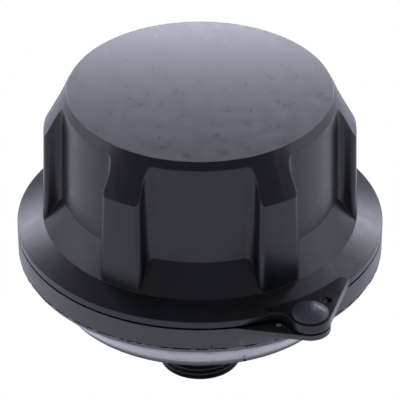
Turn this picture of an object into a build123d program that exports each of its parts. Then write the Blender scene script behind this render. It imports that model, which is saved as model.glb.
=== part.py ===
from build123d import *
import math
import os

# Hydraulic filler breather with a lockable quick-turn cap, in millimetres.
# +Z is up along the axis, Z = 0 is the tank surface that the neck seal lies on, and +X points at the lock ears.

# Threaded neck, spanner hexagon and seal (G 3/4 connection).
THREAD_RADIUS = 13.22
THREAD_LENGTH = 18.0
THREAD_CHAMFER = 1.0
THREAD_RELIEF_DEPTH = 0.6
NECK_BORE_RADIUS = 9.5
NECK_SEAL_THICKNESS = 2.0
NECK_SEAL_WIDTH = 4.0
NECK_SEAL_PLAY = 0.28
HEXAGON_ACROSS_FLATS = 38.0
HEXAGON_HEIGHT = 10.0

# Bowl of the base: a rim bead, a cone that widens upwards, a short step and the upright band.
BEAD_HEIGHT = 1.4
BEAD_WIDTH = 2.2
BEAD_INSET = 0.5
BOWL_FOOT_RADIUS = 46.0
FLOOR_THICKNESS = 2.2
CONE_HEIGHT = 11.8
STEP_INSET = 0.9
STEP_HEIGHT = 1.95
BAND_RADIUS = 57.5
BAND_HEIGHT = 7.0
BAND_WALL = 3.5
BOWL_WALL = 2.6
VENT_COUNT = 12
VENT_WIDTH = 3.2
VENT_LENGTH = 9.0
RIB_WIDTH = 1.8

# Chimney that carries the oil and the air between the neck and the cap.
CHIMNEY_RADIUS = 22.0
CHIMNEY_WALL = 2.5
BAFFLE_LEDGE_WIDTH = 2.0
BAFFLE_LEDGE_HEIGHT = 2.0
BAFFLE_PLAY = 0.05
FUNNEL_DEPTH = 9.0
BAFFLE_THICKNESS = 2.0
BAFFLE_SHIELD_RADIUS = 13.0
BAFFLE_SHIELD_RISE = 2.5
BAFFLE_SPOKE_WIDTH = 3.0
BAFFLE_SPOKES = 3

# Flange and skirt of the cap.
RIM_GAP = 0.67
RIM_HEIGHT = 2.1
FLANGE_RISE = 2.5
GASKET_WIDTH = 2.0
GASKET_INSET = 1.0
GASKET_GROOVE_DEPTH = 1.2
SKIRT_WALL = 2.4
SKIRT_LENGTH = 6.9
TURN_PLAY = 0.4

# Quick-turn lugs on the skirt, under helical ramps inside the band.
LUG_COUNT = 3
LUG_ANGLE = 20.0
LUG_THICKNESS = 1.6
LUG_REACH = 3.2
LUG_TIP_GAP = 0.4
RAMP_THICKNESS = 1.2
RAMP_TOP_GAP = 0.1
RAMP_PLAY = 0.2
RAMP_END_GAP = 3.0
STOP_GAP = 1.2
STOP_WIDTH = 1.6
OPEN_ANGLE = 60.0
QUICK_LEAD = 18.0

# Grip of the cap: a flat top, a conical shoulder and lobes with recesses between them.
LOBE_COUNT = 6
LOBE_TURN = -1.5
FLANGE_WIDTH = 8.2
LOBE_HEIGHT = 30.4
SHOULDER_HEIGHT = 13.8
TOP_INSET = 8.25
MOULD_DRAFT = 1.6
RECESS_DEPTH = 5.75
RECESS_RAMP_HEIGHT = 9.6
RECESS_HALF_ANGLE = 20.99024
RECESS_SPLAY = 22.0
RECESS_CORNER_ROUND = 2.4
LOBE_CORNER_ROUND = 1.6
CROWN_EDGE_ROUND = 0.6
CAP_WALL = 2.6

# Lock ears, one on the cap and one on the band.
EAR_OVERHANG = 5.9
EAR_NOSE_RADIUS = 6.4
EAR_RUN_ANGLE = 21.0
EAR_FILLET = 5.0
EAR_STEP = 0.8
BAND_EAR_THICKNESS = 1.8
LOCK_HOLE_RADIUS = 3.75
CHAIN_HOLE_RADIUS = 1.6
CHAIN_HOLE_BACK = 3.35
CHAIN_HOLE_ASIDE = 8.2
PLUG_HEAD_RADIUS = 5.6
PLUG_HEAD_EDGE = 0.8
PLUG_HEAD_RISE = 2.3
PLUG_PLAY = 0.05

# Valve plate under the filter element, with its relief valve and its intake valves.
PLATE_MARGIN = 0.7
PLATE_THICKNESS = 2.4
PLATE_SEAL_WIDTH = 3.2
PLATE_SEAL_THICKNESS = 2.0
PLATE_SEAL_PROUD = 0.8
HUB_RADIUS = 5.5
HUB_HEIGHT = 9.0
PORT_COUNT = 6
PORT_HUB_GAP = 3.5
PORT_WIDTH = 3.0
PORT_ANGLE = 42.0
RELIEF_DISC_MARGIN = 0.4
RELIEF_DISC_THICKNESS = 1.6
RELIEF_SEAL_THICKNESS = 1.0
RELIEF_SEAL_LAP = 0.9
RELIEF_SLIDE_PLAY = 0.1
RELIEF_COLLAR_WALL = 1.2
RELIEF_COLLAR_HEIGHT = 3.0
SPRING_WIRE_RADIUS = 0.45
SPRING_GUIDE_PLAY = 0.8
SPRING_TURNS = 4.0
SPRING_SIDES = 8
RETAINER_MARGIN = 2.0
RETAINER_THICKNESS = 1.0
INTAKE_COUNT = 3
INTAKE_RIM_GAP = 0.8
INTAKE_FLAP_RADIUS = 3.4
INTAKE_FLAP_THICKNESS = 0.7
INTAKE_STEM_RADIUS = 0.9
INTAKE_BULB_RADIUS = 1.4
INTAKE_HOLE_RADIUS = 0.7
INTAKE_HOLE_REACH = 2.1
INTAKE_HOLES = 4

# Centre bolt and what it clamps.
BOLT_RADIUS = 3.0
BOLT_HEAD_ACROSS_FLATS = 10.0
BOLT_HEAD_HEIGHT = 4.0
BOLT_HOLE_PLAY = 0.3
BOLT_END_GAP = 1.0
WASHER_MARGIN = 3.0
WASHER_THICKNESS = 1.2
INSERT_WALL = 1.6
INSERT_LENGTH = 9.0
BOSS_WALL = 2.8
BOSS_FLOOR = 2.5
SPACER_WALL = 1.8

# Filter element: pleated media between two end caps, on a slotted core inside a slotted guard.
ELEMENT_GAP = 2.8
CORE_SETBACK = 0.8
CORE_WALL = 0.8
MEDIA_GAP = 0.5
PLEAT_COUNT = 40
PLEAT_PAPER = 0.9
GUARD_WALL = 0.6
END_CAP_THICKNESS = 1.4
END_CAP_LIP = 3.0
END_CAP_WALL = 0.6
ELEMENT_GASKET_THICKNESS = 1.5
ELEMENT_GASKET_WIDTH = 6.0
CEILING_RIB_HEIGHT = 2.0
CEILING_RIB_WIDTH = 2.0
CORE_SLOTS = 10
GUARD_SLOTS = 16
SLOT_SHARE = 0.6
SLOT_END_MARGIN = 4.0

# Levels, from the tank surface up.
neck_bottom = -THREAD_LENGTH
hexagon_bottom = NECK_SEAL_THICKNESS
bowl_bottom = hexagon_bottom + HEXAGON_HEIGHT
floor_under = bowl_bottom + BEAD_HEIGHT
floor_top = floor_under + FLOOR_THICKNESS
ledge_top = floor_top + BAFFLE_LEDGE_HEIGHT
cone_top = floor_under + CONE_HEIGHT
band_bottom = cone_top + STEP_HEIGHT
band_top = band_bottom + BAND_HEIGHT
rim_bottom = band_top + RIM_GAP
flange_edge = rim_bottom + RIM_HEIGHT
lobe_foot = flange_edge + FLANGE_RISE
recess_foot = lobe_foot + RECESS_RAMP_HEIGHT
lobe_head = lobe_foot + LOBE_HEIGHT
top_edge = lobe_head + SHOULDER_HEIGHT
ear_top = flange_edge + EAR_STEP
ceiling = top_edge - CAP_WALL

# Radii of the grip, which leans inwards by the mould's draft.
draft_slope = math.tan(math.radians(MOULD_DRAFT))
lobe_radius = BAND_RADIUS - FLANGE_WIDTH
lobe_head_radius = lobe_radius - LOBE_HEIGHT * draft_slope
recess_radius = lobe_radius - RECESS_DEPTH
recess_foot_radius = recess_radius - RECESS_RAMP_HEIGHT * draft_slope
recess_head_radius = recess_radius - (top_edge - lobe_foot) * draft_slope
top_radius = lobe_radius - TOP_INSET
ear_reach = BAND_RADIUS + EAR_OVERHANG

# Radii of the parts that turn against each other.
band_inner = BAND_RADIUS - BAND_WALL
chimney_outer = CHIMNEY_RADIUS + CHIMNEY_WALL
ledge_radius = CHIMNEY_RADIUS - BAFFLE_LEDGE_WIDTH
gasket_outer = BAND_RADIUS - GASKET_INSET
gasket_inner = gasket_outer - GASKET_WIDTH
lug_outer = band_inner - LUG_TIP_GAP
skirt_outer = lug_outer - LUG_REACH
skirt_inner = skirt_outer - SKIRT_WALL
ramp_inner = skirt_outer + TURN_PLAY
skirt_bottom = rim_bottom - SKIRT_LENGTH

# A ramp reaches from behind the closed lug to just short of the open one.
ramp_start = -LUG_ANGLE / 2 - STOP_GAP
ramp_end = OPEN_ANGLE - LUG_ANGLE / 2 - RAMP_END_GAP
ramp_under = band_top - RAMP_TOP_GAP - RAMP_THICKNESS - QUICK_LEAD * ramp_end / 360
lug_under = ramp_under - RAMP_PLAY - LUG_THICKNESS

# The valve plate hangs from the cap and seals on the chimney.
chimney_top = band_top
plate_seal_inner = (CHIMNEY_RADIUS + chimney_outer - PLATE_SEAL_WIDTH) / 2
plate_bottom = chimney_top + PLATE_SEAL_PROUD
plate_top = plate_bottom + PLATE_THICKNESS
hub_top = plate_top + HUB_HEIGHT
relief_disc_bottom = plate_top + RELIEF_SEAL_THICKNESS
relief_disc_top = relief_disc_bottom + RELIEF_DISC_THICKNESS
retainer_top = hub_top + RETAINER_THICKNESS
washer_bottom = plate_bottom - WASHER_THICKNESS
insert_top = ceiling - BOSS_FLOOR
boss_bottom = insert_top - INSERT_LENGTH
bolt_hole_radius = BOLT_RADIUS + BOLT_HOLE_PLAY
insert_radius = BOLT_RADIUS + INSERT_WALL
port_inner = HUB_RADIUS + PORT_HUB_GAP
port_outer = port_inner + PORT_WIDTH
relief_disc_radius = port_outer + RELIEF_SEAL_LAP + RELIEF_DISC_MARGIN
collar_inner = HUB_RADIUS + RELIEF_SLIDE_PLAY
collar_outer = collar_inner + RELIEF_COLLAR_WALL
spring_radius = collar_outer + SPRING_GUIDE_PLAY + SPRING_WIRE_RADIUS
retainer_radius = spring_radius + RETAINER_MARGIN
intake_reach = plate_seal_inner - INTAKE_RIM_GAP - INTAKE_FLAP_RADIUS

# The filter element fills the space between the plate, the ceiling rib and the recesses' inner walls.
element_bottom = plate_top + ELEMENT_GASKET_THICKNESS
element_top = ceiling - CEILING_RIB_HEIGHT - ELEMENT_GASKET_THICKNESS
media_bottom = element_bottom + END_CAP_THICKNESS
media_top = element_top - END_CAP_THICKNESS
core_radius = CHIMNEY_RADIUS - CORE_SETBACK
core_outer = core_radius + CORE_WALL
media_inner = core_outer + MEDIA_GAP
end_cap_inner = core_radius - END_CAP_WALL
end_cap_outer = recess_head_radius - CAP_WALL - ELEMENT_GAP
guard_outer = end_cap_outer - END_CAP_WALL
media_outer = guard_outer - GUARD_WALL - MEDIA_GAP
plate_radius = end_cap_outer + PLATE_MARGIN
element_seal_radius = (end_cap_inner + end_cap_outer) / 2


def turned(*outline):
    """Solid of revolution about Z from the corners of its section, as (radius, height)."""
    return revolve(make_face(Plane.XZ * Polyline(*outline, close=True)), Axis.Z)


def disc(radius, bottom, top):
    """Round plate or rod about Z."""
    return Pos(0, 0, bottom) * extrude(Circle(radius), top - bottom)


def tube(inner, outer, bottom, top):
    """Round tube or ring about Z."""
    return Pos(0, 0, bottom) * extrude(Circle(outer) - Circle(inner), top - bottom)


def hexagon(across_flats, bottom, top):
    """Hexagonal prism about Z."""
    plan = RegularPolygon(across_flats / 2, 6, major_radius=False)
    return Pos(0, 0, bottom) * extrude(plan, top - bottom)


def bar(inner, outer, width, bottom, top):
    """Straight bar along X from an inner to an outer radius."""
    plan = Pos((inner + outer) / 2, 0) * Rectangle(outer - inner, width)
    return Pos(0, 0, bottom) * extrude(plan, top - bottom)


def at(radius, angle):
    """Point at a radius and an angle in degrees."""
    return (radius * math.cos(math.radians(angle)), radius * math.sin(math.radians(angle)))


def around(shape, count, start=0.0):
    """Copies of a shape, evenly spaced about Z."""
    return [Rot(0, 0, start + turn * 360 / count) * shape for turn in range(count)]


def helical_bar(inner, outer, under, thickness, start_angle, end_angle):
    """Flat bar that climbs about Z with the quick-turn lead, its underside at a given height at angle 0."""
    sweep_angle = end_angle - start_angle
    start_middle = under + thickness / 2 + QUICK_LEAD * start_angle / 360
    path = Helix(QUICK_LEAD, QUICK_LEAD * sweep_angle / 360, (inner + outer) / 2, center=(0, 0, start_middle))
    section = Plane(path @ 0, x_dir=(1, 0, 0), z_dir=path % 0) * Rectangle(outer - inner, thickness)
    return Rot(0, 0, start_angle) * sweep(section, path, is_frenet=True)


def ear_outline():
    """Plan of a lock ear on +X: a round nose, a straight side towards +Y and a hollow side towards -Y."""
    nose = (ear_reach, 0)
    hollow_y = EAR_NOSE_RADIUS + EAR_FILLET
    hollow_x = math.sqrt((BAND_RADIUS + EAR_FILLET) ** 2 - hollow_y**2)
    hollow_angle = math.degrees(math.atan2(hollow_y, hollow_x))
    hollow_middle = at(EAR_FILLET, 90 + (90 - hollow_angle) / 2)
    rim_low = at(BAND_RADIUS, -hollow_angle)
    rim_high = at(BAND_RADIUS, EAR_RUN_ANGLE)
    to_nose = (nose[0] - rim_high[0], nose[1] - rim_high[1])
    distance = math.hypot(*to_nose)
    heading = math.degrees(math.atan2(to_nose[1], to_nose[0]) + math.asin(EAR_NOSE_RADIUS / distance))
    run = at(math.sqrt(distance**2 - EAR_NOSE_RADIUS**2), heading)
    touch = (rim_high[0] + run[0], rim_high[1] + run[1])
    tip = (ear_reach + EAR_NOSE_RADIUS, 0)
    nose_low = (ear_reach, -EAR_NOSE_RADIUS)
    root_low = at(BAND_RADIUS - BAND_WALL, -hollow_angle)
    root_high = at(BAND_RADIUS - BAND_WALL, EAR_RUN_ANGLE - 2)
    hollow = (hollow_x + hollow_middle[0], -hollow_y + hollow_middle[1])
    return make_face(
        [
            ThreePointArc(rim_low, hollow, (hollow_x, -EAR_NOSE_RADIUS)),
            Line((hollow_x, -EAR_NOSE_RADIUS), nose_low),
            ThreePointArc(nose_low, tip, touch),
            Line(touch, rim_high),
            Line(rim_high, root_high),
            Line(root_high, root_low),
            Line(root_low, rim_low),
        ]
    )


def ear_holes(side, bottom, top):
    """Lock hole and chain hole through an ear, the chain hole towards +Y or -Y."""
    chain_hole = Pos(ear_reach - CHAIN_HOLE_BACK, side * CHAIN_HOLE_ASIDE, 0) * disc(CHAIN_HOLE_RADIUS, bottom, top)
    return [Pos(ear_reach, 0, 0) * disc(LOCK_HOLE_RADIUS, bottom, top), chain_hole]


def bowl_wall():
    """Turned wall of the bowl with its bead, cone, step and band."""
    step_radius = BAND_RADIUS - STEP_INSET
    bead_radius = BOWL_FOOT_RADIUS - BEAD_INSET
    return turned(
        (0, floor_under),
        (bead_radius - BEAD_WIDTH, floor_under),
        (bead_radius - BEAD_WIDTH, bowl_bottom),
        (bead_radius, bowl_bottom),
        (bead_radius, floor_under),
        (BOWL_FOOT_RADIUS, floor_under),
        (step_radius, cone_top),
        (step_radius, band_bottom),
        (BAND_RADIUS, band_bottom),
        (BAND_RADIUS, band_top),
        (band_inner, band_top),
        (band_inner, cone_top),
        (BOWL_FOOT_RADIUS - BOWL_WALL, floor_top),
        (0, floor_top),
    )


def neck():
    """Turned neck, solid: thread cylinder with its lead-in and the relief behind it."""
    relief_radius = THREAD_RADIUS - THREAD_RELIEF_DEPTH
    return turned(
        (0, neck_bottom),
        (THREAD_RADIUS - THREAD_CHAMFER, neck_bottom),
        (THREAD_RADIUS, neck_bottom + THREAD_CHAMFER),
        (THREAD_RADIUS, 0),
        (relief_radius, 0),
        (relief_radius, floor_top),
        (0, floor_top),
    )


def fill_passage():
    """Bore of the neck, its funnel and the inside of the chimney."""
    return turned(
        (0, neck_bottom),
        (NECK_BORE_RADIUS, neck_bottom),
        (NECK_BORE_RADIUS, ledge_top - FUNNEL_DEPTH),
        (ledge_radius, ledge_top),
        (CHIMNEY_RADIUS, ledge_top),
        (CHIMNEY_RADIUS, chimney_top),
        (0, chimney_top),
    )


def quick_turn_ramp():
    """Helical ramp inside the band, over the closed lug, with the stop behind the lug."""
    ramp = helical_bar(ramp_inner, band_inner + BAND_WALL / 4, ramp_under, RAMP_THICKNESS, ramp_start, ramp_end)
    stop_top = ramp_under + QUICK_LEAD * ramp_start / 360 + RAMP_THICKNESS / 2
    stop = bar(ramp_inner, band_inner + BAND_WALL / 4, STOP_WIDTH, stop_top - LUG_THICKNESS - RAMP_THICKNESS, stop_top)
    stop_turn = math.degrees(STOP_WIDTH / 2 / ramp_inner)
    return ramp + Rot(0, 0, ramp_start - stop_turn) * stop


def base_bowl():
    """Moulded base: threaded neck, hexagon, vented bowl, chimney, quick-turn ramps and the lower lock ear."""
    base = bowl_wall() + tube(ledge_radius, chimney_outer, floor_under, chimney_top)
    rib_inner = HEXAGON_ACROSS_FLATS / 2 - RIB_WIDTH
    rib_outer = BOWL_FOOT_RADIUS - BEAD_INSET - BEAD_WIDTH / 2
    rib = bar(rib_inner, rib_outer, RIB_WIDTH, bowl_bottom, floor_top)
    base += around(rib, VENT_COUNT, 180 / VENT_COUNT)
    base += hexagon(HEXAGON_ACROSS_FLATS, hexagon_bottom, ledge_top)
    base += neck()
    base -= fill_passage()
    vent_reach = (chimney_outer + BOWL_FOOT_RADIUS - BOWL_WALL) / 2
    vent = Pos(vent_reach, 0, floor_under) * extrude(SlotOverall(VENT_LENGTH, VENT_WIDTH), FLOOR_THICKNESS)
    base -= around(vent, VENT_COUNT)
    base += around(quick_turn_ramp(), LUG_COUNT)
    ear_bottom = band_top - BAND_EAR_THICKNESS
    base += Pos(0, 0, ear_bottom) * extrude(mirror(ear_outline(), Plane.XZ), BAND_EAR_THICKNESS)
    return base - ear_holes(-1, ear_bottom, band_top)


def neck_seal():
    """Flat rubber ring on the neck, under the hexagon."""
    inner = THREAD_RADIUS + NECK_SEAL_PLAY
    return tube(inner, inner + NECK_SEAL_WIDTH, 0, NECK_SEAL_THICKNESS)


def splash_baffle():
    """Ring on the chimney's ledge, with spokes that carry a domed shield over the neck bore."""
    top = ledge_top + BAFFLE_THICKNESS
    baffle = tube(ledge_radius, CHIMNEY_RADIUS - BAFFLE_PLAY, ledge_top, top)
    baffle += turned(
        (0, ledge_top + BAFFLE_SHIELD_RISE),
        (BAFFLE_SHIELD_RADIUS, ledge_top),
        (BAFFLE_SHIELD_RADIUS, top),
        (0, top + BAFFLE_SHIELD_RISE),
    )
    spoke = bar(BAFFLE_SHIELD_RADIUS - 1, ledge_radius + 1, BAFFLE_SPOKE_WIDTH, ledge_top, top)
    return baffle + around(spoke, BAFFLE_SPOKES)


def lobed_plan(inset, lobe_round):
    """Plan of the grip at the lobes' foot, with every wall moved inwards by an inset."""
    splay = math.radians(RECESS_SPLAY)
    beyond = lobe_radius + CAP_WALL
    recess_edge_x, recess_edge_y = at(recess_radius, RECESS_HALF_ANGLE)
    half_width = recess_edge_y + inset / math.cos(splay)
    tip_x = recess_edge_x - half_width / math.tan(splay)
    mouth = (beyond - tip_x) * math.tan(splay)
    wedge = make_face(Polyline((tip_x, 0), (beyond, mouth), (beyond, -mouth), close=True))
    plan = Circle(lobe_radius - inset) - around(wedge - Circle(recess_radius - inset), LOBE_COUNT)
    middle = (lobe_radius + recess_radius) / 2 - inset
    plan = fillet([corner for corner in plan.vertices() if reach_of(corner) < middle], RECESS_CORNER_ROUND)
    if lobe_round > 0:
        rim = lobe_radius - inset - lobe_round / 100
        plan = fillet([corner for corner in plan.vertices() if reach_of(corner) > rim], lobe_round)
    return Rot(0, 0, LOBE_TURN + 180 / LOBE_COUNT) * plan


def reach_of(point):
    """Distance of a point from the Z axis."""
    return math.hypot(point.X, point.Y)


def lobed_column(inset, lobe_round, bottom, top):
    """Column over the lobed plan that narrows upwards by the mould's draft."""
    outlines = []
    for level in (bottom, top):
        lean = (level - lobe_foot) * draft_slope
        outlines.append(Pos(0, 0, level) * lobed_plan(inset + lean, lobe_round))
    return loft(outlines, ruled=True)


def crown(inset, bottom):
    """Solid under the flat top and the shoulder, with both moved inwards by an inset."""
    cone_run = lobe_head_radius - top_radius
    cone_length = math.hypot(cone_run, SHOULDER_HEIGHT)
    top = top_edge - inset
    edge_radius = top_radius - inset * (cone_length - cone_run) / SHOULDER_HEIGHT
    foot_radius = edge_radius + (top - bottom) * cone_run / SHOULDER_HEIGHT
    return turned((0, top), (edge_radius, top), (foot_radius, bottom), (0, bottom))


def recess_ramps(inset, bottom):
    """Cone that fills the foot of the recesses, moved inwards by an inset."""
    run = lobe_radius - recess_foot_radius
    steepness = RECESS_RAMP_HEIGHT / run
    drop = inset * (math.hypot(run, RECESS_RAMP_HEIGHT) - RECESS_RAMP_HEIGHT) / run
    top = recess_foot - drop + (recess_foot_radius - recess_head_radius) * steepness
    head_radius = recess_head_radius - inset
    foot_radius = head_radius + (top - bottom) / steepness
    return turned((0, bottom), (foot_radius, bottom), (head_radius, top), (0, top))


def grip():
    """Lobed grip, solid, with a soft edge round its crown."""
    form = lobed_column(0, LOBE_CORNER_ROUND, lobe_foot, top_edge) & crown(0, lobe_foot)
    heads = [edge for edge in form.edges() if is_lobe_head(edge)]
    return fillet(heads, CROWN_EDGE_ROUND) + recess_ramps(0, lobe_foot)


def is_lobe_head(edge):
    """Whether an edge of the grip lies between a lobe's outer face and its shoulder."""
    return max(abs((edge @ step).Z - lobe_head) for step in (0, 1)) < CROWN_EDGE_ROUND / 2


def grip_cavity():
    """Hollow of the grip, a wall's thickness inside it and open at the bottom."""
    form = lobed_column(CAP_WALL, 0, rim_bottom, ceiling) & crown(CAP_WALL, rim_bottom)
    return form + recess_ramps(CAP_WALL, rim_bottom) & disc(lobe_radius - CAP_WALL, rim_bottom, ceiling)


def cap_shell():
    """Moulded cap: lobed grip, flange with the upper lock ear, skirt with lugs, ceiling rib and centre boss."""
    shell = grip()
    shell += turned(
        (0, rim_bottom),
        (BAND_RADIUS, rim_bottom),
        (BAND_RADIUS, flange_edge),
        (lobe_radius, lobe_foot),
        (0, lobe_foot),
    )
    shell += Pos(0, 0, rim_bottom) * extrude(ear_outline(), ear_top - rim_bottom)
    shell += tube(skirt_inner, skirt_outer, skirt_bottom, rim_bottom)
    shell -= grip_cavity()
    shell -= tube(gasket_inner, gasket_outer, rim_bottom, rim_bottom + GASKET_GROOVE_DEPTH)
    lug = helical_bar(skirt_outer - SKIRT_WALL / 4, lug_outer, lug_under, LUG_THICKNESS, -LUG_ANGLE / 2, LUG_ANGLE / 2)
    shell += around(lug, LUG_COUNT)
    shell += disc(insert_radius + BOSS_WALL, boss_bottom, ceiling)
    rib_inner = element_seal_radius - CEILING_RIB_WIDTH / 2
    shell += tube(rib_inner, rib_inner + CEILING_RIB_WIDTH, ceiling - CEILING_RIB_HEIGHT, ceiling)
    shell -= disc(insert_radius, boss_bottom, insert_top)
    return shell - ear_holes(1, rim_bottom, ear_top)


def cap_gasket():
    """Rubber ring in the flange's groove, down to the top of the band."""
    return tube(gasket_inner, gasket_outer, band_top, rim_bottom + GASKET_GROOVE_DEPTH)


def ear_plug():
    """Rubber plug of the cap's lock hole: a domed head and a stem as long as the ear is thick."""
    stem_radius = LOCK_HOLE_RADIUS - PLUG_PLAY
    edge_top = ear_top + PLUG_HEAD_EDGE
    dome_radius = (PLUG_HEAD_RADIUS**2 + PLUG_HEAD_RISE**2) / 2 / PLUG_HEAD_RISE
    half_angle = math.asin(PLUG_HEAD_RADIUS / dome_radius) / 2
    dome_middle = edge_top + PLUG_HEAD_RISE - dome_radius * (1 - math.cos(half_angle))
    section = make_face(
        [
            Polyline(
                (0, edge_top + PLUG_HEAD_RISE),
                (0, rim_bottom),
                (stem_radius, rim_bottom),
                (stem_radius, ear_top),
                (PLUG_HEAD_RADIUS, ear_top),
                (PLUG_HEAD_RADIUS, edge_top),
            ),
            ThreePointArc(
                (PLUG_HEAD_RADIUS, edge_top),
                (dome_radius * math.sin(half_angle), dome_middle),
                (0, edge_top + PLUG_HEAD_RISE),
            ),
        ]
    )
    return Pos(ear_reach, 0, 0) * revolve(Plane.XZ * section, Axis.Z)


def valve_plate():
    """Plate under the element, with the relief ports, the intake holes and the hub that the bolt passes."""
    plate = disc(plate_radius, plate_bottom, plate_top) + disc(HUB_RADIUS, plate_top, hub_top)
    groove_outer = plate_seal_inner + PLATE_SEAL_WIDTH
    plate -= tube(plate_seal_inner, groove_outer, plate_bottom, chimney_top + PLATE_SEAL_THICKNESS)
    ring = Circle(port_outer) - Circle(port_inner)
    far = port_outer * 2
    sector = make_face(Polyline((0, 0), at(far, -PORT_ANGLE / 2), at(far, PORT_ANGLE / 2), close=True))
    port = Pos(0, 0, plate_bottom) * extrude(ring & sector, PLATE_THICKNESS)
    plate -= around(port, PORT_COUNT)
    hole = Pos(INTAKE_HOLE_REACH, 0, 0) * disc(INTAKE_HOLE_RADIUS, plate_bottom, plate_top)
    cluster = around(hole, INTAKE_HOLES, 180 / INTAKE_HOLES) + [disc(INTAKE_STEM_RADIUS, plate_bottom, plate_top)]
    for turn in range(INTAKE_COUNT):
        place = Rot(0, 0, turn * 360 / INTAKE_COUNT) * Pos(intake_reach, 0, 0)
        plate -= [place * hole for hole in cluster]
    return plate - disc(bolt_hole_radius, plate_bottom, hub_top)


def plate_seal():
    """Rubber ring in the plate's groove, down to the top of the chimney."""
    outer = plate_seal_inner + PLATE_SEAL_WIDTH
    return tube(plate_seal_inner, outer, chimney_top, chimney_top + PLATE_SEAL_THICKNESS)


def intake_flap():
    """Rubber umbrella valve on +X: a thin flap under the plate, a stem and the bulb that holds it."""
    bulb_top = plate_top + 2 * INTAKE_BULB_RADIUS
    valve = turned(
        (0, plate_bottom - INTAKE_FLAP_THICKNESS),
        (INTAKE_FLAP_RADIUS, plate_bottom - INTAKE_FLAP_THICKNESS / 2),
        (INTAKE_FLAP_RADIUS, plate_bottom),
        (INTAKE_STEM_RADIUS, plate_bottom),
        (INTAKE_STEM_RADIUS, plate_top),
        (INTAKE_BULB_RADIUS, plate_top),
        (INTAKE_STEM_RADIUS, bulb_top),
        (0, bulb_top),
    )
    return Pos(intake_reach, 0, 0) * valve


def relief_disc():
    """Relief valve disc that slides on the hub, with its guide collar."""
    collar_top = relief_disc_top + RELIEF_COLLAR_HEIGHT
    plate = tube(collar_inner, relief_disc_radius, relief_disc_bottom, relief_disc_top)
    return plate + tube(collar_inner, collar_outer, relief_disc_top, collar_top)


def relief_seal():
    """Flat rubber ring under the relief disc, over the ports."""
    return tube(port_inner - RELIEF_SEAL_LAP, port_outer + RELIEF_SEAL_LAP, plate_top, relief_disc_bottom)


def relief_spring():
    """Compression spring between the relief disc and its retainer."""
    bottom = relief_disc_top + SPRING_WIRE_RADIUS
    top = hub_top - SPRING_WIRE_RADIUS
    path = Helix((top - bottom) / SPRING_TURNS, top - bottom, spring_radius, center=(0, 0, bottom))
    section = Plane(path @ 0, z_dir=path % 0) * RegularPolygon(SPRING_WIRE_RADIUS, SPRING_SIDES)
    return sweep(section, path, is_frenet=True)


def spring_retainer():
    """Steel washer on the hub that holds the relief spring."""
    return tube(bolt_hole_radius, retainer_radius, hub_top, retainer_top)


def clamp_spacer():
    """Tube between the retainer and the cap's boss."""
    return tube(bolt_hole_radius, bolt_hole_radius + SPACER_WALL, retainer_top, boss_bottom)


def clamp_washer():
    """Washer under the plate."""
    return tube(bolt_hole_radius, bolt_hole_radius + WASHER_MARGIN, washer_bottom, plate_bottom)


def clamp_bolt():
    """Hexagon bolt from under the plate up into the insert."""
    head = hexagon(BOLT_HEAD_ACROSS_FLATS, washer_bottom - BOLT_HEAD_HEIGHT, washer_bottom)
    return head + disc(BOLT_RADIUS, washer_bottom, insert_top - BOLT_END_GAP)


def boss_insert():
    """Brass thread insert in the cap's boss."""
    return tube(BOLT_RADIUS, insert_radius, boss_bottom, insert_top)


def element_media():
    """Pleated filter media as one folded ring."""
    pleat_angle = 360 / PLEAT_COUNT
    depth = media_outer - media_inner
    half_pitch = math.radians(pleat_angle / 2) * (media_outer + media_inner) / 2
    fold = PLEAT_PAPER * math.hypot(depth, half_pitch) / half_pitch
    outside = []
    inside = []
    for pleat in range(PLEAT_COUNT):
        angle = pleat * pleat_angle
        outside.append(at(media_outer, angle))
        outside.append(at(media_inner + fold, angle + pleat_angle / 2))
        inside.append(at(media_outer - fold, angle))
        inside.append(at(media_inner, angle + pleat_angle / 2))
    section = make_face(Polyline(*outside, close=True)) - make_face(Polyline(*inside, close=True))
    return Pos(0, 0, media_bottom) * extrude(section, media_top - media_bottom)


def slotted_tube(inner, outer, slots):
    """Tube as high as the media, with upright slots."""
    wall = tube(inner, outer, media_bottom, media_top)
    width = 2 * math.pi * inner / slots * SLOT_SHARE
    slot = bar(inner - 1, outer + 1, width, media_bottom + SLOT_END_MARGIN, media_top - SLOT_END_MARGIN)
    return wall - around(slot, slots)


def element_core():
    """Slotted tube inside the media."""
    return slotted_tube(core_radius, core_outer, CORE_SLOTS)


def element_guard():
    """Slotted tube around the media."""
    return slotted_tube(guard_outer - GUARD_WALL, guard_outer, GUARD_SLOTS)


def end_cap(outside, inside):
    """End cap of the element: a flat ring with an inner and an outer lip towards the media."""
    lip_end = inside + math.copysign(END_CAP_LIP, inside - outside)
    return turned(
        (end_cap_inner, outside),
        (end_cap_inner, lip_end),
        (core_radius, lip_end),
        (core_radius, inside),
        (guard_outer, inside),
        (guard_outer, lip_end),
        (end_cap_outer, lip_end),
        (end_cap_outer, outside),
    )


def element_lower_cap():
    """End cap under the media."""
    return end_cap(element_bottom, media_bottom)


def element_upper_cap():
    """End cap on top of the media."""
    return end_cap(element_top, media_top)


def element_gasket(bottom):
    """Flat gasket between an end cap and what it seals on."""
    inner = element_seal_radius - ELEMENT_GASKET_WIDTH / 2
    return tube(inner, inner + ELEMENT_GASKET_WIDTH, bottom, bottom + ELEMENT_GASKET_THICKNESS)


def element_lower_gasket():
    """Gasket between the element and the valve plate."""
    return element_gasket(plate_top)


def element_upper_gasket():
    """Gasket between the element and the ceiling rib."""
    return element_gasket(element_top)


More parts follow.
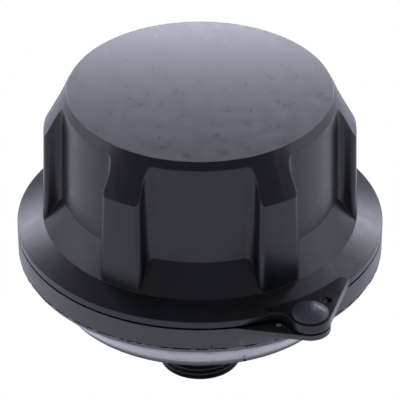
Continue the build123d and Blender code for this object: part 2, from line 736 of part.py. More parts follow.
PIECES = (
    base_bowl,
    neck_seal,
    splash_baffle,
    cap_shell,
    cap_gasket,
    ear_plug,
    valve_plate,
    plate_seal,
    relief_disc,
    relief_seal,
    relief_spring,
    spring_retainer,
    clamp_spacer,
    clamp_washer,
    clamp_bolt,
    boss_insert,
    element_media,
    element_core,
    element_guard,
    element_lower_cap,
    element_upper_cap,
    element_lower_gasket,
    element_upper_gasket,
)

os.makedirs("parts", exist_ok=True)
for piece in PIECES:
    export_step(piece(), f"parts/{piece.__name__}.step")
for number in range(INTAKE_COUNT):
    flap = Rot(0, 0, number * 360 / INTAKE_COUNT) * intake_flap()
    export_step(flap, f"parts/intake_flap_{number + 1}.step")
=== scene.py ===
# %% [markdown]
# # Hydraulic filler breather
# A lobed black cap turns on a flanged bowl, and a threaded neck carries both on a tank. The solids come
# ready from the CAD model. This lesson gives them light, a camera and finishes. It also adds the thread and
# the fine forms that a moulding shop leaves behind: flash along the parting lines, a seam and burrs.

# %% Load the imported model
import math
import bmesh
import bpy
from mathutils import Matrix, Vector, noise


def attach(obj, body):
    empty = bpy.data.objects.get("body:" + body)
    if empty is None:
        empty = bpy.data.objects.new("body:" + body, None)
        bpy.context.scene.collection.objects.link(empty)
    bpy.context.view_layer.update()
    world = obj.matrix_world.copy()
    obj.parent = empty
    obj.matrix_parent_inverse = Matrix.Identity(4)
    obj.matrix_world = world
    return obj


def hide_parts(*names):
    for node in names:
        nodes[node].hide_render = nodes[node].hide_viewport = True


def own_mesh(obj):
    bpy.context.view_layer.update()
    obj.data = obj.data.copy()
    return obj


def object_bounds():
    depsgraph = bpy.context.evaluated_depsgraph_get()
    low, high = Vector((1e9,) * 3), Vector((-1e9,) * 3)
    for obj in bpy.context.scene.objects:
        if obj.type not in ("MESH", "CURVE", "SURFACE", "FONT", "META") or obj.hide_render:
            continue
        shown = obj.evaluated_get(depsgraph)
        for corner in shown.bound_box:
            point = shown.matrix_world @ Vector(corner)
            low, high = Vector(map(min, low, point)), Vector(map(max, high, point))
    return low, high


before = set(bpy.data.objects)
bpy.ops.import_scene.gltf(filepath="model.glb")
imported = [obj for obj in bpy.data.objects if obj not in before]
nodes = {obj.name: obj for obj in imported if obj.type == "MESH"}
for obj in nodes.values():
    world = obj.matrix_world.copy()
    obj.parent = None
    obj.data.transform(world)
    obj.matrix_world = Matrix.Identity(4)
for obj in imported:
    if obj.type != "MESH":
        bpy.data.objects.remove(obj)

cad_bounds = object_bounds()
MM = 0.001

# %% [markdown]
# ## Camera
# A long lens far away keeps the cap's top round and its sides nearly parallel, as a catalogue picture does.
# The camera looks down by a little more than a third of a right angle, from a point on a sphere round the
# axis at the level of the cap's rim. An object that is turned by a direction to a target needs no angles
# worked out by hand.

# %% Place the camera
RIM_LEVEL = 36.92 * MM
CAMERA_AZIMUTH = 58.55
CAMERA_ELEVATION = 34.0
CAMERA_DISTANCE = 977.5 * MM
CAMERA_LENS = 279.0
AIM_RISE = 4.9 * MM
SENSOR_WIDTH = 36.0
FAR_LIMIT = 20.0


def round_the_object(azimuth, elevation, distance, level=RIM_LEVEL):
    """Point at a distance from the axis point at a level, seen at an azimuth and an elevation."""
    side = math.radians(azimuth - 90)
    up = math.radians(elevation)
    flat = distance * math.cos(up)
    return Vector((flat * math.cos(side), flat * math.sin(side), level + distance * math.sin(up)))


def link(name, data, location=(0, 0, 0)):
    """New object in the scene."""
    made = bpy.data.objects.new(name, data)
    made.location = location
    bpy.context.scene.collection.objects.link(made)
    return made


def turn_towards(thing, target):
    """Point an object's -Z axis at a target, with its Y axis up."""
    thing.rotation_euler = (target - thing.location).to_track_quat("-Z", "Y").to_euler()


camera_data = bpy.data.cameras.new("camera")
camera_data.lens = CAMERA_LENS
camera_data.sensor_width = SENSOR_WIDTH
camera_data.clip_end = FAR_LIMIT
camera = link("camera", camera_data, round_the_object(CAMERA_AZIMUTH, CAMERA_ELEVATION, CAMERA_DISTANCE))
aim = Vector((0, 0, RIM_LEVEL))
turn_towards(camera, aim)
turn_towards(camera, aim + camera.rotation_euler.to_matrix() @ Vector((0, AIM_RISE, 0)))
bpy.context.scene.camera = camera
print("camera at", [round(v, 3) for v in camera.location])

# %% [markdown]
# ## Floor and light
# The breather stands on a white table. Black plastic shows little light of its own, so its look is what it
# mirrors: a low softbox close behind draws the sheen across the flat top, and the table lights whatever
# leans outwards. The room in front stays dark, so the faces that look at the camera stay black. The table
# is one flat face, six metres wide, which is all that a plain floor needs.

# %% Lay the floor
FLOOR_SIZE = 6.0
floor_level = cad_bounds[0][2]
floor_mesh = bmesh.new()
bmesh.ops.create_grid(floor_mesh, x_segments=1, y_segments=1, size=FLOOR_SIZE / 2)
bmesh.ops.translate(floor_mesh, verts=floor_mesh.verts, vec=(0, 0, floor_level))
floor_data = bpy.data.meshes.new("floor")
floor_mesh.to_mesh(floor_data)
floor_mesh.free()
link("floor", floor_data)
print("floor at", round(floor_level / MM, 2), "mm")

# %% [markdown]
# The table is matt paper, lit evenly. A light path node sorts the rays: the camera sees plain white, and
# the plastic mirrors a slightly bluish glow, as it would from a lit paper sweep. Real lamps could do this
# too, but not as evenly.

# %% Paint the floor
PAPER_WHITE = (0.85, 0.85, 0.86, 1)
TABLE_SHEEN = (0.90, 0.92, 1.10, 1)
WHITE = (1, 1, 1, 1)


def add_node(tree, kind, **settings):
    """New shader node with its settings and with its inputs' values."""
    node = tree.nodes.new(kind)
    for name, value in settings.items():
        if name in node.inputs:
            node.inputs[name].default_value = value
        else:
            setattr(node, name, value)
    return node


floor_paint = bpy.data.materials.new("white_table")
floor_paint.use_nodes = True
tree = floor_paint.node_tree
tree.nodes.clear()
paper = add_node(tree, "ShaderNodeBsdfDiffuse", Color=PAPER_WHITE)
path = add_node(tree, "ShaderNodeLightPath")
surface = paper.outputs[0]
for kind, colour in (("Is Glossy Ray", TABLE_SHEEN), ("Is Camera Ray", WHITE)):
    glow = add_node(tree, "ShaderNodeEmission", Color=colour)
    choice = add_node(tree, "ShaderNodeMixShader")
    tree.links.new(path.outputs[kind], choice.inputs[0])
    tree.links.new(surface, choice.inputs[1])
    tree.links.new(glow.outputs[0], choice.inputs[2])
    surface = choice.outputs[0]
floor_out = add_node(tree, "ShaderNodeOutputMaterial")
tree.links.new(surface, floor_out.inputs[0])
floor_data.materials.append(floor_paint)
print("table sheen", TABLE_SHEEN[:3])

# %% [markdown]
# The room gives a dim bluish light from all sides, and the camera sees it as white paper behind the table.

# %% Light the room
ROOM_LIGHT = (0.21, 0.215, 0.27, 1)
world = bpy.data.worlds.new("room")
bpy.context.scene.world = world
world.use_nodes = True
tree = world.node_tree
tree.nodes.clear()
room = add_node(tree, "ShaderNodeBackground", Color=ROOM_LIGHT)
backdrop = add_node(tree, "ShaderNodeBackground", Color=WHITE)
camera_ray = add_node(tree, "ShaderNodeLightPath")
world_mix = add_node(tree, "ShaderNodeMixShader")
tree.links.new(camera_ray.outputs["Is Camera Ray"], world_mix.inputs[0])
tree.links.new(room.outputs[0], world_mix.inputs[1])
tree.links.new(backdrop.outputs[0], world_mix.inputs[2])
world_out = add_node(tree, "ShaderNodeOutputWorld")
tree.links.new(world_mix.outputs[0], world_out.inputs[0])
print("room light", ROOM_LIGHT[:3])

# %% [markdown]
# Four softboxes hang round the breather. Area lights are used because plastic mirrors their shape: the one
# behind is long and very low, so the top mirrors it at a grazing angle, most of all at its far side. The
# ones at the sides edge the lobes.

# %% Hang the softboxes
# name: turn from the camera, distance, bottom and top above the table, width (m), radiance
SOFTBOXES = {
    "back_softbox": (180, 0.15, 0.136, 0.172, 0.50, 12.0),
    "left_softbox": (-95, 0.80, 0.10, 0.60, 0.70, 1.6),
    "right_softbox": (95, 0.80, 0.10, 0.60, 0.70, 1.6),
    "high_softbox": (150, 0.45, 0.50, 0.62, 0.14, 6.0),
}
LIGHT_TINT = (0.85, 0.86, 1.0)
for name, (turn, distance, bottom, top, width, radiance) in SOFTBOXES.items():
    light = bpy.data.lights.new(name, "AREA")
    light.shape = "RECTANGLE"
    light.color = LIGHT_TINT
    light.size = width
    light.size_y = top - bottom
    light.energy = radiance * math.pi * width * (top - bottom)
    middle = floor_level + (top + bottom) / 2
    lamp = link(name, light, round_the_object(CAMERA_AZIMUTH + turn, 0, distance, middle))
    turn_towards(lamp, Vector((0, 0, middle)))
    print(name, [round(v, 2) for v in lamp.location])

bpy.context.scene.view_settings.view_transform = "Standard"

# %% [markdown]
# ## Finishes
# A finish is a small net of nodes. Each net here is built from four helpers: noise in the object's own
# space, so a pattern stays on its piece when it moves, a spread that maps the noise to a range, a blend of
# two colours, and a relief. Inside the relief, a bevel node rounds the solids' sharp edges in the shading,
# as moulded edges are round.

# %% Write helpers for finishes


def new_finish(name):
    """Empty material with its node tree and its shader."""
    material = bpy.data.materials.new(name)
    material.use_nodes = True
    return material, material.node_tree, material.node_tree.nodes["Principled BSDF"]


def object_point(tree):
    """Place of a shading point in the object's own space."""
    return add_node(tree, "ShaderNodeTexCoord").outputs["Object"]


def object_noise(tree, size, detail, roughness=0.5):
    """Noise in the object's own space, with features of a given size in metres."""
    cloud = add_node(tree, "ShaderNodeTexNoise", Scale=1 / size, Detail=detail, Roughness=roughness)
    tree.links.new(object_point(tree), cloud.inputs["Vector"])
    return cloud.outputs["Fac"]


def spread(tree, source, low, high, start=0.3, end=0.7):
    """Number that runs from low to high as a source runs from start to end."""
    ramp = add_node(tree, "ShaderNodeMapRange")
    ramp.inputs["From Min"].default_value = start
    ramp.inputs["From Max"].default_value = end
    ramp.inputs["To Min"].default_value = low
    ramp.inputs["To Max"].default_value = high
    tree.links.new(source, ramp.inputs["Value"])
    return ramp.outputs[0]


def blend(tree, share, first, second):
    """Mix of two colours, each a constant or an output."""
    mixer = add_node(tree, "ShaderNodeMix", data_type="RGBA")
    tree.links.new(share, mixer.inputs["Factor"])
    for socket, colour in (("A", first), ("B", second)):
        if isinstance(colour, tuple):
            mixer.inputs[socket].default_value = (*colour, 1)
        else:
            tree.links.new(colour, mixer.inputs[socket])
    return mixer.outputs["Result"]


def rough_relief(tree, grain_size, grain_height, edge_radius):
    """Normal of a grained surface whose edges are rounded in the shading."""
    soft_edge = add_node(tree, "ShaderNodeBevel", Radius=edge_radius, samples=4)
    bump = add_node(tree, "ShaderNodeBump", Distance=grain_height)
    tree.links.new(object_noise(tree, grain_size, 2.0), bump.inputs["Height"])
    tree.links.new(soft_edge.outputs[0], bump.inputs["Normal"])
    return bump.outputs[0]


print("helpers for finishes ready")

# %% [markdown]
# Glass-filled nylon is dyed black all through. The mould's fine grain scatters light, so the surface is
# satin, with faint streaks where the melt flowed and a few pale specks of glass. One recipe with different
# numbers makes every moulded finish, which keeps the plastics and the rubbers of one family.

# %% Mix the moulded finishes
SPECK_SIZE = 0.8 * MM
SPECK_COLOUR = (0.6, 0.6, 0.6)
SPECK_START, SPECK_FULL = 0.82, 0.86
STREAK_SIZE = 12 * MM
EDGE_RADIUS = 0.45 * MM


def moulded(name, dark, pale, roughness, grain_size, grain_height, specular=0.5, speck=0.05):
    """Moulded plastic or rubber: a mottled colour with pale specks, uneven gloss and a fine grain."""
    material, tree, shader = new_finish(name)
    shader.inputs["Specular IOR Level"].default_value = specular
    body = blend(tree, spread(tree, object_noise(tree, STREAK_SIZE, 4.0), 0, 1), dark, pale)
    specks = spread(tree, object_noise(tree, SPECK_SIZE, 0.0), 0, speck, SPECK_START, SPECK_FULL)
    tree.links.new(blend(tree, specks, body, SPECK_COLOUR), shader.inputs["Base Color"])
    gloss = object_noise(tree, STREAK_SIZE / 3, 3.0)
    tree.links.new(spread(tree, gloss, *roughness), shader.inputs["Roughness"])
    tree.links.new(rough_relief(tree, grain_size, grain_height, EDGE_RADIUS), shader.inputs["Normal"])
    return material


# each finish: dark and pale colour, roughness from and to, grain size and grain height
cap_nylon = moulded("cap_nylon", (0.006, 0.0065, 0.009), (0.010, 0.011, 0.014), (0.27, 0.34),
                    0.5 * MM, 0.012 * MM, speck=0.015)
base_nylon = moulded("base_nylon", (0.014, 0.015, 0.019), (0.022, 0.023, 0.029), (0.30, 0.40),
                     0.6 * MM, 0.02 * MM, specular=0.75)
neck_nylon = moulded("neck_nylon", (0.016, 0.016, 0.020), (0.022, 0.023, 0.027), (0.34, 0.44),
                     0.5 * MM, 0.01 * MM, specular=0.4)
# flash finish: the nylon's own black, with pale patches that are painted highlight
torn_nylon_painted_highlight = moulded("torn_nylon_painted_highlight", (0.02, 0.02, 0.024), (0.16, 0.16, 0.17), (0.5, 0.6),
                     0.3 * MM, 0.01 * MM, speck=0.3)
torn_pale = moulded("torn_pale", (0.20, 0.20, 0.21), (0.42, 0.42, 0.43), (0.6, 0.7), 0.3 * MM, 0.02 * MM)
seam_rubber = moulded("seam_rubber", (0.02, 0.02, 0.025), (0.12, 0.12, 0.14), (0.5, 0.6), 0.3 * MM, 0.02 * MM)
# near-black finish for the burrs: painted shade of the crack and notches they stand in for
burr_nylon_painted_shade = moulded("burr_nylon_painted_shade", (0.003, 0.003, 0.004), (0.03, 0.03, 0.035), (0.5, 0.7),
                     0.3 * MM, 0.03 * MM, specular=0.2)
inner_nylon = moulded("inner_nylon", (0.020, 0.021, 0.024), (0.028, 0.029, 0.032), (0.38, 0.48),
                      0.5 * MM, 0.01 * MM)
seal_rubber = moulded("seal_rubber", (0.010, 0.010, 0.011), (0.016, 0.016, 0.018), (0.55, 0.7),
                      0.3 * MM, 0.01 * MM)
plug_rubber = moulded("plug_rubber", (0.060, 0.061, 0.072), (0.075, 0.076, 0.09), (0.36, 0.44),
                      0.4 * MM, 0.01 * MM, specular=0.7)
print("finishes so far:", len(bpy.data.materials))

# %% [markdown]
# The cone under the band is spark-eroded in the mould, much rougher than the rest. It could be a piece of
# its own, but it has no seam, so a range of heights picks it out and adds a coarser grain and a thin sheen
# there.

# %% Roughen the cone
CONE_BOTTOM = 12.4 * MM
CONE_TOP = 26.6 * MM
CONE_GRAIN = 0.45 * MM
CONE_GRAIN_HEIGHT = 0.05 * MM
CONE_SHEEN = 0.75
CONE_SHEEN_ROUGHNESS = 0.3


def roughen_between(material, bottom, top, grain_size, grain_height):
    """Give a moulded finish a coarser grain between two heights."""
    tree = material.node_tree
    shader = tree.nodes["Principled BSDF"]
    height = add_node(tree, "ShaderNodeSeparateXYZ")
    tree.links.new(object_point(tree), height.inputs[0])
    inside = add_node(tree, "ShaderNodeMath", operation="COMPARE")
    tree.links.new(height.outputs["Z"], inside.inputs[0])
    inside.inputs[1].default_value = (bottom + top) / 2
    inside.inputs[2].default_value = (top - bottom) / 2
    coarse = add_node(tree, "ShaderNodeBump", Distance=grain_height)
    tree.links.new(inside.outputs[0], coarse.inputs["Strength"])
    tree.links.new(object_noise(tree, grain_size, 3.0, 0.7), coarse.inputs["Height"])
    tree.links.new(shader.inputs["Normal"].links[0].from_socket, coarse.inputs["Normal"])
    tree.links.new(coarse.outputs[0], shader.inputs["Normal"])
    shader.inputs["Coat Roughness"].default_value = CONE_SHEEN_ROUGHNESS
    tree.links.new(spread(tree, inside.outputs[0], 0, CONE_SHEEN, 0, 1), shader.inputs["Coat Weight"])


roughen_between(base_nylon, CONE_BOTTOM, CONE_TOP, CONE_GRAIN, CONE_GRAIN_HEIGHT)
print("cone grain", round(CONE_GRAIN_HEIGHT / MM, 2), "mm")

# %% [markdown]
# Inside the cap there is metal and paper: a zinc-plated bolt and guard, a turned aluminium valve disc, a
# brass insert and the pleated paper of the element. Metal needs only its colour and an uneven gloss, and
# paper is matt with a fibrous stain, so each has a short recipe of its own.

# %% Write the metals and the paper
METAL_DULLING = 0.8
PAPER_ROUGHNESS = 0.85


def metal(name, colour, roughness):
    """Bare or plated metal with fine scratches and an uneven gloss."""
    material, tree, shader = new_finish(name)
    shader.inputs["Metallic"].default_value = 1.0
    dull = tuple(METAL_DULLING * part for part in colour)
    tree.links.new(blend(tree, spread(tree, object_noise(tree, 4 * MM, 4.0), 0, 1), dull, colour),
                   shader.inputs["Base Color"])
    tree.links.new(spread(tree, object_noise(tree, 1 * MM, 3.0), *roughness), shader.inputs["Roughness"])
    tree.links.new(rough_relief(tree, 0.2 * MM, 0.004 * MM, EDGE_RADIUS / 2), shader.inputs["Normal"])
    return material


def paper_sheet(name, pale, dark):
    """Resin-treated filter paper: fibrous and matt."""
    material, tree, shader = new_finish(name)
    shader.inputs["Roughness"].default_value = PAPER_ROUGHNESS
    tree.links.new(blend(tree, spread(tree, object_noise(tree, 0.7 * MM, 5.0, 0.7), 0, 1), pale, dark),
                   shader.inputs["Base Color"])
    tree.links.new(rough_relief(tree, 0.25 * MM, 0.02 * MM, EDGE_RADIUS / 3), shader.inputs["Normal"])
    return material


zinc = metal("zinc_plate", (0.66, 0.67, 0.70), (0.28, 0.42))
aluminium = metal("turned_aluminium", (0.78, 0.79, 0.81), (0.25, 0.4))
brass = metal("turned_brass", (0.78, 0.58, 0.28), (0.22, 0.36))
filter_paper = paper_sheet("filter_paper", (0.74, 0.65, 0.47), (0.62, 0.53, 0.37))
print("finishes so far:", len(bpy.data.materials))

# %% [markdown]
# Every solid gets one finish. The table goes from the finish to the solids, and the cell prints any solid
# left out.

# %% Give every solid its finish
FINISHES = {
    cap_nylon: ["cap_shell"],
    base_nylon: ["base_bowl"],
    inner_nylon: ["splash_baffle", "valve_plate", "element_lower_cap", "element_upper_cap", "element_core"],
    seal_rubber: ["neck_seal", "cap_gasket", "plate_seal", "relief_seal", "element_lower_gasket",
                  "element_upper_gasket", "intake_flap_1", "intake_flap_2", "intake_flap_3"],
    plug_rubber: ["ear_plug"],
    zinc: ["relief_spring", "spring_retainer", "clamp_spacer", "clamp_washer", "clamp_bolt", "element_guard"],
    aluminium: ["relief_disc"],
    brass: ["boss_insert"],
    filter_paper: ["element_media"],
}
for material, names in FINISHES.items():
    for name in names:
        nodes[name].data.materials.clear()
        nodes[name].data.materials.append(material)
unpainted = set(nodes) - {name for names in FINISHES.values() for name in names}
print("solids without a finish:", sorted(unpainted))

# %% [markdown]
# ## New pieces
# New pieces start as a bmesh, which is Blender's mesh for editing. A copy of a solid comes with its faces
# apart, so its seams are closed first. Each finished piece stays at the origin with its place in its mesh,
# and rides a body.

# %% Write helpers for new pieces
SEAM_REACH = 0.001 * MM


def merged_copy(name):
    """Mesh of a solid with the seams between its faces closed."""
    mesh = bmesh.new()
    mesh.from_mesh(nodes[name].data)
    bmesh.ops.remove_doubles(mesh, verts=mesh.verts, dist=SEAM_REACH)
    return mesh


def all_parts(mesh):
    """Everything in a mesh, as the operators want it."""
    return mesh.verts[:] + mesh.edges[:] + mesh.faces[:]


def open_edges(mesh, level, reach=0.01 * MM):
    """Edges of an open rim that lies at a level."""
    return [e for e in mesh.edges if e.is_boundary and all(abs(v.co.z - level) < reach for v in e.verts)]


def only(kind, parts):
    """Parts of one kind, out of what an operator made."""
    return [part for part in parts if isinstance(part, kind)]


def new_piece(name, mesh, body, material, sharp_angle=35):
    """Object made from a mesh, with faces shaded smooth up to an angle, that moves with a body."""
    bmesh.ops.recalc_face_normals(mesh, faces=mesh.faces)
    data = bpy.data.meshes.new(name)
    mesh.to_mesh(data)
    mesh.free()
    data.materials.append(material)
    data.shade_smooth()
    data.set_sharp_from_angle(angle=math.radians(sharp_angle))
    piece = link(name, data)
    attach(piece, body)
    print(name, "has", len(data.polygons), "faces")
    return piece


print("helpers for new pieces ready")

# %% [markdown]
# ## Bowl without its neck
# The solid's neck is a plain cylinder of the thread's outside diameter. A copy of the bowl loses its neck
# at the tank's level, where a bridge between the two open rims closes it. Weighted normals keep its flat
# faces flat.

# %% Cut the neck off a copy of the bowl
BOWL_SHARP_ANGLE = 10
NECK_START = -1 * MM
bowl = merged_copy("base_bowl")
neck_verts = [v.co for v in bowl.verts if v.co.z < NECK_START]
neck_bottom = min(co.z for co in neck_verts)
crest_radius = max(co.xy.length for co in neck_verts)
bore_radius = min(co.xy.length for co in neck_verts)
print("neck", [round(v / MM, 2) for v in (neck_bottom, crest_radius, bore_radius)], "mm")
bmesh.ops.bisect_plane(bowl, geom=all_parts(bowl), plane_co=(0, 0, 0), plane_no=(0, 0, 1), clear_inner=True)
bmesh.ops.bridge_loops(bowl, edges=open_edges(bowl, 0))
dressed_bowl = new_piece("dressed_bowl", bowl, "base", base_nylon, BOWL_SHARP_ANGLE)
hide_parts("base_bowl")
even = dressed_bowl.modifiers.new("even_shading", "WEIGHTED_NORMAL")
even.keep_sharp = True

# %% [markdown]
# ## Thread
# A thread is one tooth wound round the neck many times. Here a whole row of teeth makes one turn and climbs
# by one pitch, so its last row meets its first, one tooth further up. That needs a single spin, and two
# cuts trim the ends.

# %% Turn the thread
PITCH = 1.814 * MM
THREAD_DEPTH = 1.16 * MM
THREAD_START = 0.4 * MM
THREAD_PHASE = -0.2
RUN_OUT = 1.6 * MM
RUN_OUT_SLOPE = 0.3 * MM
TURN_STEPS = 96
WELD_REACH = 0.01 * MM
root_radius = crest_radius - THREAD_DEPTH
# radius and share of the pitch, up one tooth
tooth = ((root_radius, 0.0), (root_radius, 0.14), (crest_radius, 0.44), (crest_radius, 0.58),
         (root_radius, 0.88))

thread = bmesh.new()
tooth_count = math.ceil(-neck_bottom / PITCH) + 2
profile = [thread.verts.new((radius, 0, neck_bottom + (turn - 2 + share + THREAD_PHASE) * PITCH))
           for turn in range(tooth_count) for radius, share in tooth]
profile_edges = [thread.edges.new(pair) for pair in zip(profile, profile[1:])]
bmesh.ops.spin(thread, geom=profile + profile_edges, cent=(0, 0, 0), axis=(0, 0, 1), angle=math.tau,
               dvec=(0, 0, PITCH / TURN_STEPS), steps=TURN_STEPS, use_duplicate=False)
bmesh.ops.remove_doubles(thread, verts=thread.verts, dist=WELD_REACH)
thread_bottom = neck_bottom + THREAD_START
for level, keep_above in ((thread_bottom, True), (-RUN_OUT, False)):
    bmesh.ops.bisect_plane(thread, geom=all_parts(thread), plane_co=(0, 0, level), plane_no=(0, 0, 1),
                           clear_inner=keep_above, clear_outer=not keep_above)
print("rows of teeth:", tooth_count)

# %% [markdown]
# Plain rings close the thread: a chamfer and an end face below, the bore inside, and a smooth run-out under
# the bowl. Each ring is drawn out of the rim before it.

# %% Close the thread's ends


def draw_ring(mesh, rim, radius, level):
    """Carry an open rim on to a circle at a level."""
    grown = bmesh.ops.extrude_edge_only(mesh, edges=rim)["geom"]
    for vert in only(bmesh.types.BMVert, grown):
        vert.co.xy = vert.co.xy.normalized() * radius
        vert.co.z = level
    return only(bmesh.types.BMEdge, grown)


rim = draw_ring(thread, open_edges(thread, thread_bottom), crest_radius - THREAD_START, neck_bottom)
rim = draw_ring(thread, rim, bore_radius, neck_bottom)
inner_rim = draw_ring(thread, rim, bore_radius, 0)
rim = draw_ring(thread, open_edges(thread, -RUN_OUT), root_radius, RUN_OUT_SLOPE - RUN_OUT)
outer_rim = draw_ring(thread, rim, root_radius, 0)
bmesh.ops.bridge_loops(thread, edges=inner_rim + outer_rim)
print("open edges left:", sum(e.is_boundary for e in thread.edges))
neck_thread = new_piece("neck_thread", thread, "base", neck_nylon, 25)

# %% [markdown]
# ## Relief spring
# The spring hangs from its retainer. A copy of it, with a mesh of its own, rides with the cap in place of the
# solid.

# %% Copy the spring
spring = merged_copy("relief_spring")
short_spring = new_piece("short_spring", spring, "cap", zinc, 60)
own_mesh(short_spring)
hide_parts("relief_spring")

# %% [markdown]
# ## Flash
# Where the halves of a mould meet, a little plastic creeps out and leaves a thin torn fin. One runs along
# the top edge of the band and one along its bottom edge. A ring is drawn out by an uneven height, and the
# noise that sets it is read at each point's own place, so every run tears the fins alike. The thickness has
# no effect: the solidify operator needs normals, which the new faces don't have yet, so both sides of a fin
# lie in one place. The fins' finish runs from the nylon's own black to pale patches, and the pale patches
# are painted highlight, for the light caught on the torn edges.

# %% Grow the fins on the band
FIN_SEGMENTS = 900
FIN_THICKNESS = 0.12 * MM
FIN_TATTERS = 2.2 * MM
FIN_SINK = 0.05 * MM
UPPER_FIN_HEIGHT = 0.60 * MM
LOWER_FIN_HEIGHT = -0.42 * MM


def band_edge(lowest, highest):
    """Radius of the bowl's widest turned face between two heights, away from the ear."""
    return max(v.co.xy.length for v in dressed_bowl.data.vertices if lowest < v.co.z < highest and v.co.x < 0)


def torn_fin(name, radius, level, height, body):
    """Thin fin along a turned edge, torn to an uneven height."""
    mesh = bmesh.new()
    ring = bmesh.ops.create_circle(mesh, segments=FIN_SEGMENTS, radius=radius)["verts"]
    bmesh.ops.translate(mesh, verts=ring, vec=(0, 0, level))
    grown = bmesh.ops.extrude_edge_only(mesh, edges=mesh.edges[:])["geom"]
    for vert in only(bmesh.types.BMVert, grown):
        torn = noise.noise(vert.co / FIN_TATTERS) + 0.5 * noise.noise(vert.co / (FIN_TATTERS / 4))
        vert.co.z += height * min(max(0.5 + 1.4 * torn, 0.05), 1)
    bmesh.ops.solidify(mesh, geom=mesh.faces[:], thickness=FIN_THICKNESS)
    # the fins' pale patches are painted highlight on their torn edges
    fin = new_piece(name, mesh, body, torn_nylon_painted_highlight)


BAND_BOTTOM = 27.15 * MM
BAND_TOP = 34.15 * MM
EDGE_REACH = 0.1 * MM
band_radius = band_edge(BAND_BOTTOM - EDGE_REACH, BAND_TOP + EDGE_REACH)
torn_fin("upper_band_flash", band_radius, BAND_TOP - FIN_SINK, UPPER_FIN_HEIGHT, "base")
torn_fin("lower_band_flash", band_radius, BAND_BOTTOM + FIN_SINK, LOWER_FIN_HEIGHT, "base")

# %% [markdown]
# ## Plug and ear
# The rubber plug comes from a mould in two halves, which leave a fine seam over its dome and a nib near one
# end of it. The dome is part of a sphere, so a small circle spun round the sphere's centre lays the seam on
# the dome.

# %% Draw the plug's seam
SEAM_DIRECTION = -25.5
SEAM_WIRE = 0.2 * MM
SEAM_STEPS = 40
NIB_RADIUS = 0.4 * MM
NIB_PLACE = 0.94
DOME_RISE = 2.3 * MM
plug_points = [v.co for v in nodes["ear_plug"].data.vertices]
plug_top = max(co.z for co in plug_points)
plug_low, plug_high = (Vector([pick(co[i] for co in plug_points) for i in range(3)]) for pick in (min, max))
plug_middle = (plug_low + plug_high) / 2
head_radius = (plug_high.x - plug_low.x) / 2
dome_radius = (head_radius**2 + DOME_RISE**2) / (2 * DOME_RISE)
dome_centre = Vector((plug_middle.x, plug_middle.y, plug_top - dome_radius))
half_sweep = math.asin(head_radius / dome_radius)
seam_turn = Matrix.Rotation(math.radians(SEAM_DIRECTION), 3, "Z")
across = seam_turn @ Vector((0, 1, 0))

seam = bmesh.new()
section = bmesh.ops.create_circle(seam, segments=8, radius=SEAM_WIRE, cap_ends=False)["verts"]
stand = seam_turn @ Matrix.Rotation(math.pi / 2, 3, "Y")
bmesh.ops.rotate(seam, verts=section, cent=(0, 0, 0), matrix=stand)
bmesh.ops.translate(seam, verts=section, vec=(plug_middle.x, plug_middle.y, plug_top - SEAM_WIRE / 3))
bmesh.ops.rotate(seam, verts=section, cent=dome_centre, matrix=Matrix.Rotation(-half_sweep, 3, across))
bmesh.ops.spin(seam, geom=seam.verts[:] + seam.edges[:], cent=dome_centre, axis=across, angle=2 * half_sweep,
               steps=SEAM_STEPS, use_duplicate=False)
nib = bmesh.ops.create_icosphere(seam, subdivisions=2, radius=NIB_RADIUS)["verts"]
near_end = Matrix.Rotation(half_sweep * NIB_PLACE, 3, across) @ Vector((0, 0, dome_radius))
bmesh.ops.translate(seam, verts=nib, vec=dome_centre + near_end)
plug_seam = new_piece("plug_seam", seam, "plug", seam_rubber)

# %% [markdown]
# A skin of plastic is left in the hole of the lower ear, with a smaller torn opening off its middle. Two
# rings bridged into one face and given a thickness make it.

# %% Close the lower ear's hole with a torn skin
HOLE_PLACE = Vector((60.05 * MM, -8.2 * MM, BAND_TOP))
HOLE_RADIUS = 1.65 * MM
TEAR_OFFSET = Vector((-0.8 * MM, -0.2 * MM, 0))
TEAR_RADIUS = 0.7 * MM
SKIN_DEPTH = 0.15 * MM
skin = bmesh.new()
bmesh.ops.create_circle(skin, segments=36, radius=HOLE_RADIUS)
inner = bmesh.ops.create_circle(skin, segments=36, radius=TEAR_RADIUS)["verts"]
bmesh.ops.translate(skin, verts=inner, vec=TEAR_OFFSET)
bmesh.ops.bridge_loops(skin, edges=skin.edges[:])
bmesh.ops.translate(skin, verts=skin.verts[:], vec=HOLE_PLACE - Vector((0, 0, SKIN_DEPTH)))
bmesh.ops.solidify(skin, geom=skin.faces[:], thickness=SKIN_DEPTH)
hole_skin = new_piece("hole_skin", skin, "base", base_nylon)

# %% [markdown]
# The torn edge is a pale ragged ring with a crumb beside it. Noise pushes every point a little way, which
# makes it ragged with no points placed by hand. This vector noise is left unseeded, so the ring differs a
# little from run to run.

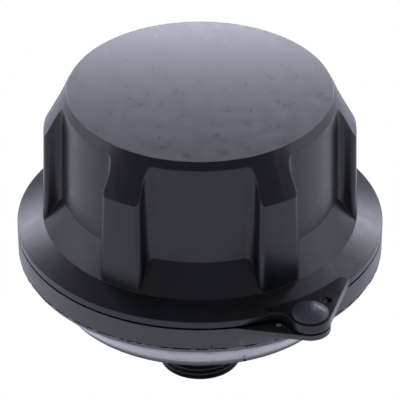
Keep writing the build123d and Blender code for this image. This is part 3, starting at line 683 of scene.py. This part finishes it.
# %% Lay the ragged ring
TEAR_WIRE = 0.25 * MM
TEAR_RAGGEDNESS = 0.4 * MM
CRUMB_PLACE = (1.4 * MM, 0.9 * MM, 0)
ring = bmesh.new()
section = bmesh.ops.create_circle(ring, segments=6, radius=TEAR_WIRE)["verts"]
bmesh.ops.rotate(ring, verts=section, cent=(0, 0, 0), matrix=Matrix.Rotation(math.pi / 2, 3, "X"))
bmesh.ops.translate(ring, verts=section, vec=(TEAR_RADIUS, 0, 0))
bmesh.ops.spin(ring, geom=ring.verts[:] + ring.edges[:], cent=(0, 0, 0), axis=(0, 0, 1), angle=math.tau,
               steps=30, use_merge=True, use_duplicate=False)
crumb = bmesh.ops.create_icosphere(ring, subdivisions=1, radius=TEAR_WIRE)["verts"]
bmesh.ops.translate(ring, verts=crumb, vec=CRUMB_PLACE)
for vert in ring.verts:
    vert.co += noise.noise_vector(vert.co / TEAR_RAGGEDNESS) * TEAR_WIRE
bmesh.ops.translate(ring, verts=ring.verts, vec=HOLE_PLACE + TEAR_OFFSET)
torn_ring = new_piece("torn_hole_ring", ring, "base", torn_pale)

# %% [markdown]
# ## Burrs
# Three small burrs are left where the mould's inserts were chipped: one on the band, one at the cone's foot
# and one at the top of the band. Each is a ball pressed flat, moved to its place and roughened by the same
# unseeded noise. Their near-black finish, darker than the nylon, is painted shade, for the shade in the
# small crack and notches at these places.

# %% Leave three burrs
BURR_THICKNESS = 0.14 * MM
BURR_GRAIN = 0.5 * MM
BURR_ROUGHNESS = 0.1
# each burr: angle in degrees, then radius, level, half width and half height in millimetres
BURRS = (
    (-27.9, 57.45, 27.9, 0.16, 0.95),
    (-14.3, 46.9, 13.5, 0.55, 0.45),
    (41.0, 57.4, 34.4, 0.35, 0.30),
)
burrs = bmesh.new()
for angle, radius, level, half_width, half_height in BURRS:
    blob = bmesh.ops.create_icosphere(burrs, subdivisions=2, radius=1)["verts"]
    bmesh.ops.scale(burrs, verts=blob, vec=(BURR_THICKNESS, half_width * MM, half_height * MM))
    bmesh.ops.translate(burrs, verts=blob, vec=(radius * MM, 0, level * MM))
    bmesh.ops.rotate(burrs, verts=blob, cent=(0, 0, 0), matrix=Matrix.Rotation(math.radians(angle), 3, "Z"))
for vert in burrs.verts:
    vert.co += noise.noise_vector(vert.co / BURR_GRAIN) * BURR_ROUGHNESS * MM
# their near-black finish is painted shade
band_burrs = new_piece("band_burrs", burrs, "base", burr_nylon_painted_shade)
